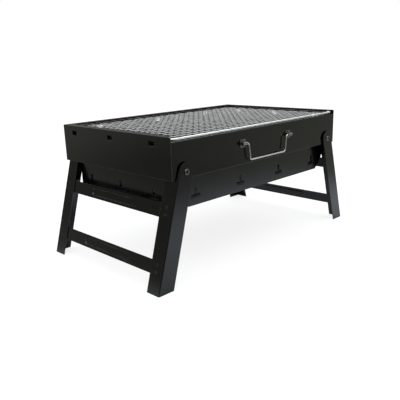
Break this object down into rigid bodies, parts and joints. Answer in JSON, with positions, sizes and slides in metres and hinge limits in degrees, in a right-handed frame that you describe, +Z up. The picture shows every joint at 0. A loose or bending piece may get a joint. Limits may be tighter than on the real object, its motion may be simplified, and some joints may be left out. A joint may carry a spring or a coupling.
{
  "type": "folding camp grill",
  "caption": "Tabletop charcoal grill: a black sheet-steel box with a drop-in tray and a wire mesh grate, on two splayed leg frames that fold in under it, with a wire handle on each long side.",
  "frame": {"origin": "on the ground under the middle of the grill", "axes": "+X along the grill's length towards the right end, +Y across it from front to back, +Z up"},
  "size_m": [0.5074, 0.2926, 0.2255],
  "materials": {
    "black_paint": "semi-gloss black heat-resistant paint on sheet steel",
    "grate_plate": "black painted slotted steel plate",
    "chromed_wire": "bright chromed steel wire",
    "handle_wire": "nickel-chromed steel rod",
    "strap_steel": "zinc-plated steel",
    "rivet_steel": "bright plated steel rivet with a dark eye"
  },
  "bodies": {
    "frame": {"frame_front_panel": "black_paint", "frame_back_panel": "black_paint", "frame_left_end_panel": "black_paint", "frame_right_end_panel": "black_paint", "pivot_rivets": "rivet_steel", "pivot_spacers": "black_paint", "front_handle_straps": "strap_steel", "back_handle_straps": "strap_steel", "strap_rivets": "strap_steel"},
    "tray": {"tray_floor": "black_paint", "tray_front_side": "black_paint", "tray_back_side": "black_paint", "tray_left_end": "black_paint", "tray_right_end": "black_paint"},
    "charcoal_grate": {"charcoal_grate": "grate_plate"},
    "cooking_grate": {"grate_border_rod": "chromed_wire", "grate_long_wires": "chromed_wire", "grate_cross_wires": "chromed_wire"},
    "left_leg_frame": {"left_front_leg": "black_paint", "left_back_leg": "black_paint", "left_upper_crossbar": "black_paint", "left_lower_crossbar": "black_paint", "left_leg_rivets": "black_paint"},
    "right_leg_frame": {"right_front_leg": "black_paint", "right_back_leg": "black_paint", "right_upper_crossbar": "black_paint", "right_lower_crossbar": "black_paint", "right_leg_rivets": "black_paint"},
    "front_handle": {"front_handle_wire": "handle_wire"},
    "back_handle": {"back_handle_wire": "handle_wire"}
  },
  "joints": [
    {"name": "left_leg_fold", "type": "hinge", "parent": "frame", "child": "left_leg_frame", "pos_m": [-0.1896, 0, 0.1735], "axis": [0, -1, 0], "range_deg": [0, 105.9]},
    {"name": "right_leg_fold", "type": "hinge", "parent": "frame", "child": "right_leg_frame", "pos_m": [0.1896, 0, 0.1735], "axis": [0, 1, 0], "range_deg": [0, 105.9]},
    {"name": "tray_lift", "type": "slide", "parent": "frame", "child": "tray", "axis": [0, 0, 1], "range_m": [0, 0.0496]},
    {"name": "charcoal_grate_lift", "type": "slide", "parent": "tray", "child": "charcoal_grate", "axis": [0, 0, 1], "range_m": [0, 0.04]},
    {"name": "cooking_grate_slide", "type": "slide", "parent": "frame", "child": "cooking_grate", "axis": [0, -1, 0], "range_m": [0, 0.27]},
    {"name": "front_handle_swing", "type": "hinge", "parent": "frame", "child": "front_handle", "pos_m": [0, -0.1438, 0.197], "axis": [-1, 0, 0], "range_deg": [0, 110]},
    {"name": "back_handle_swing", "type": "hinge", "parent": "frame", "child": "back_handle", "pos_m": [0, 0.1438, 0.197], "axis": [1, 0, 0], "range_deg": [0, 110]}
  ],
  "couplings": [
    {"joint": "right_leg_fold", "follows": "left_leg_fold", "ratio": 1},
    {"joint": "tray_lift", "follows": "left_leg_fold", "m_per_rad": 0.026782}
  ]
}
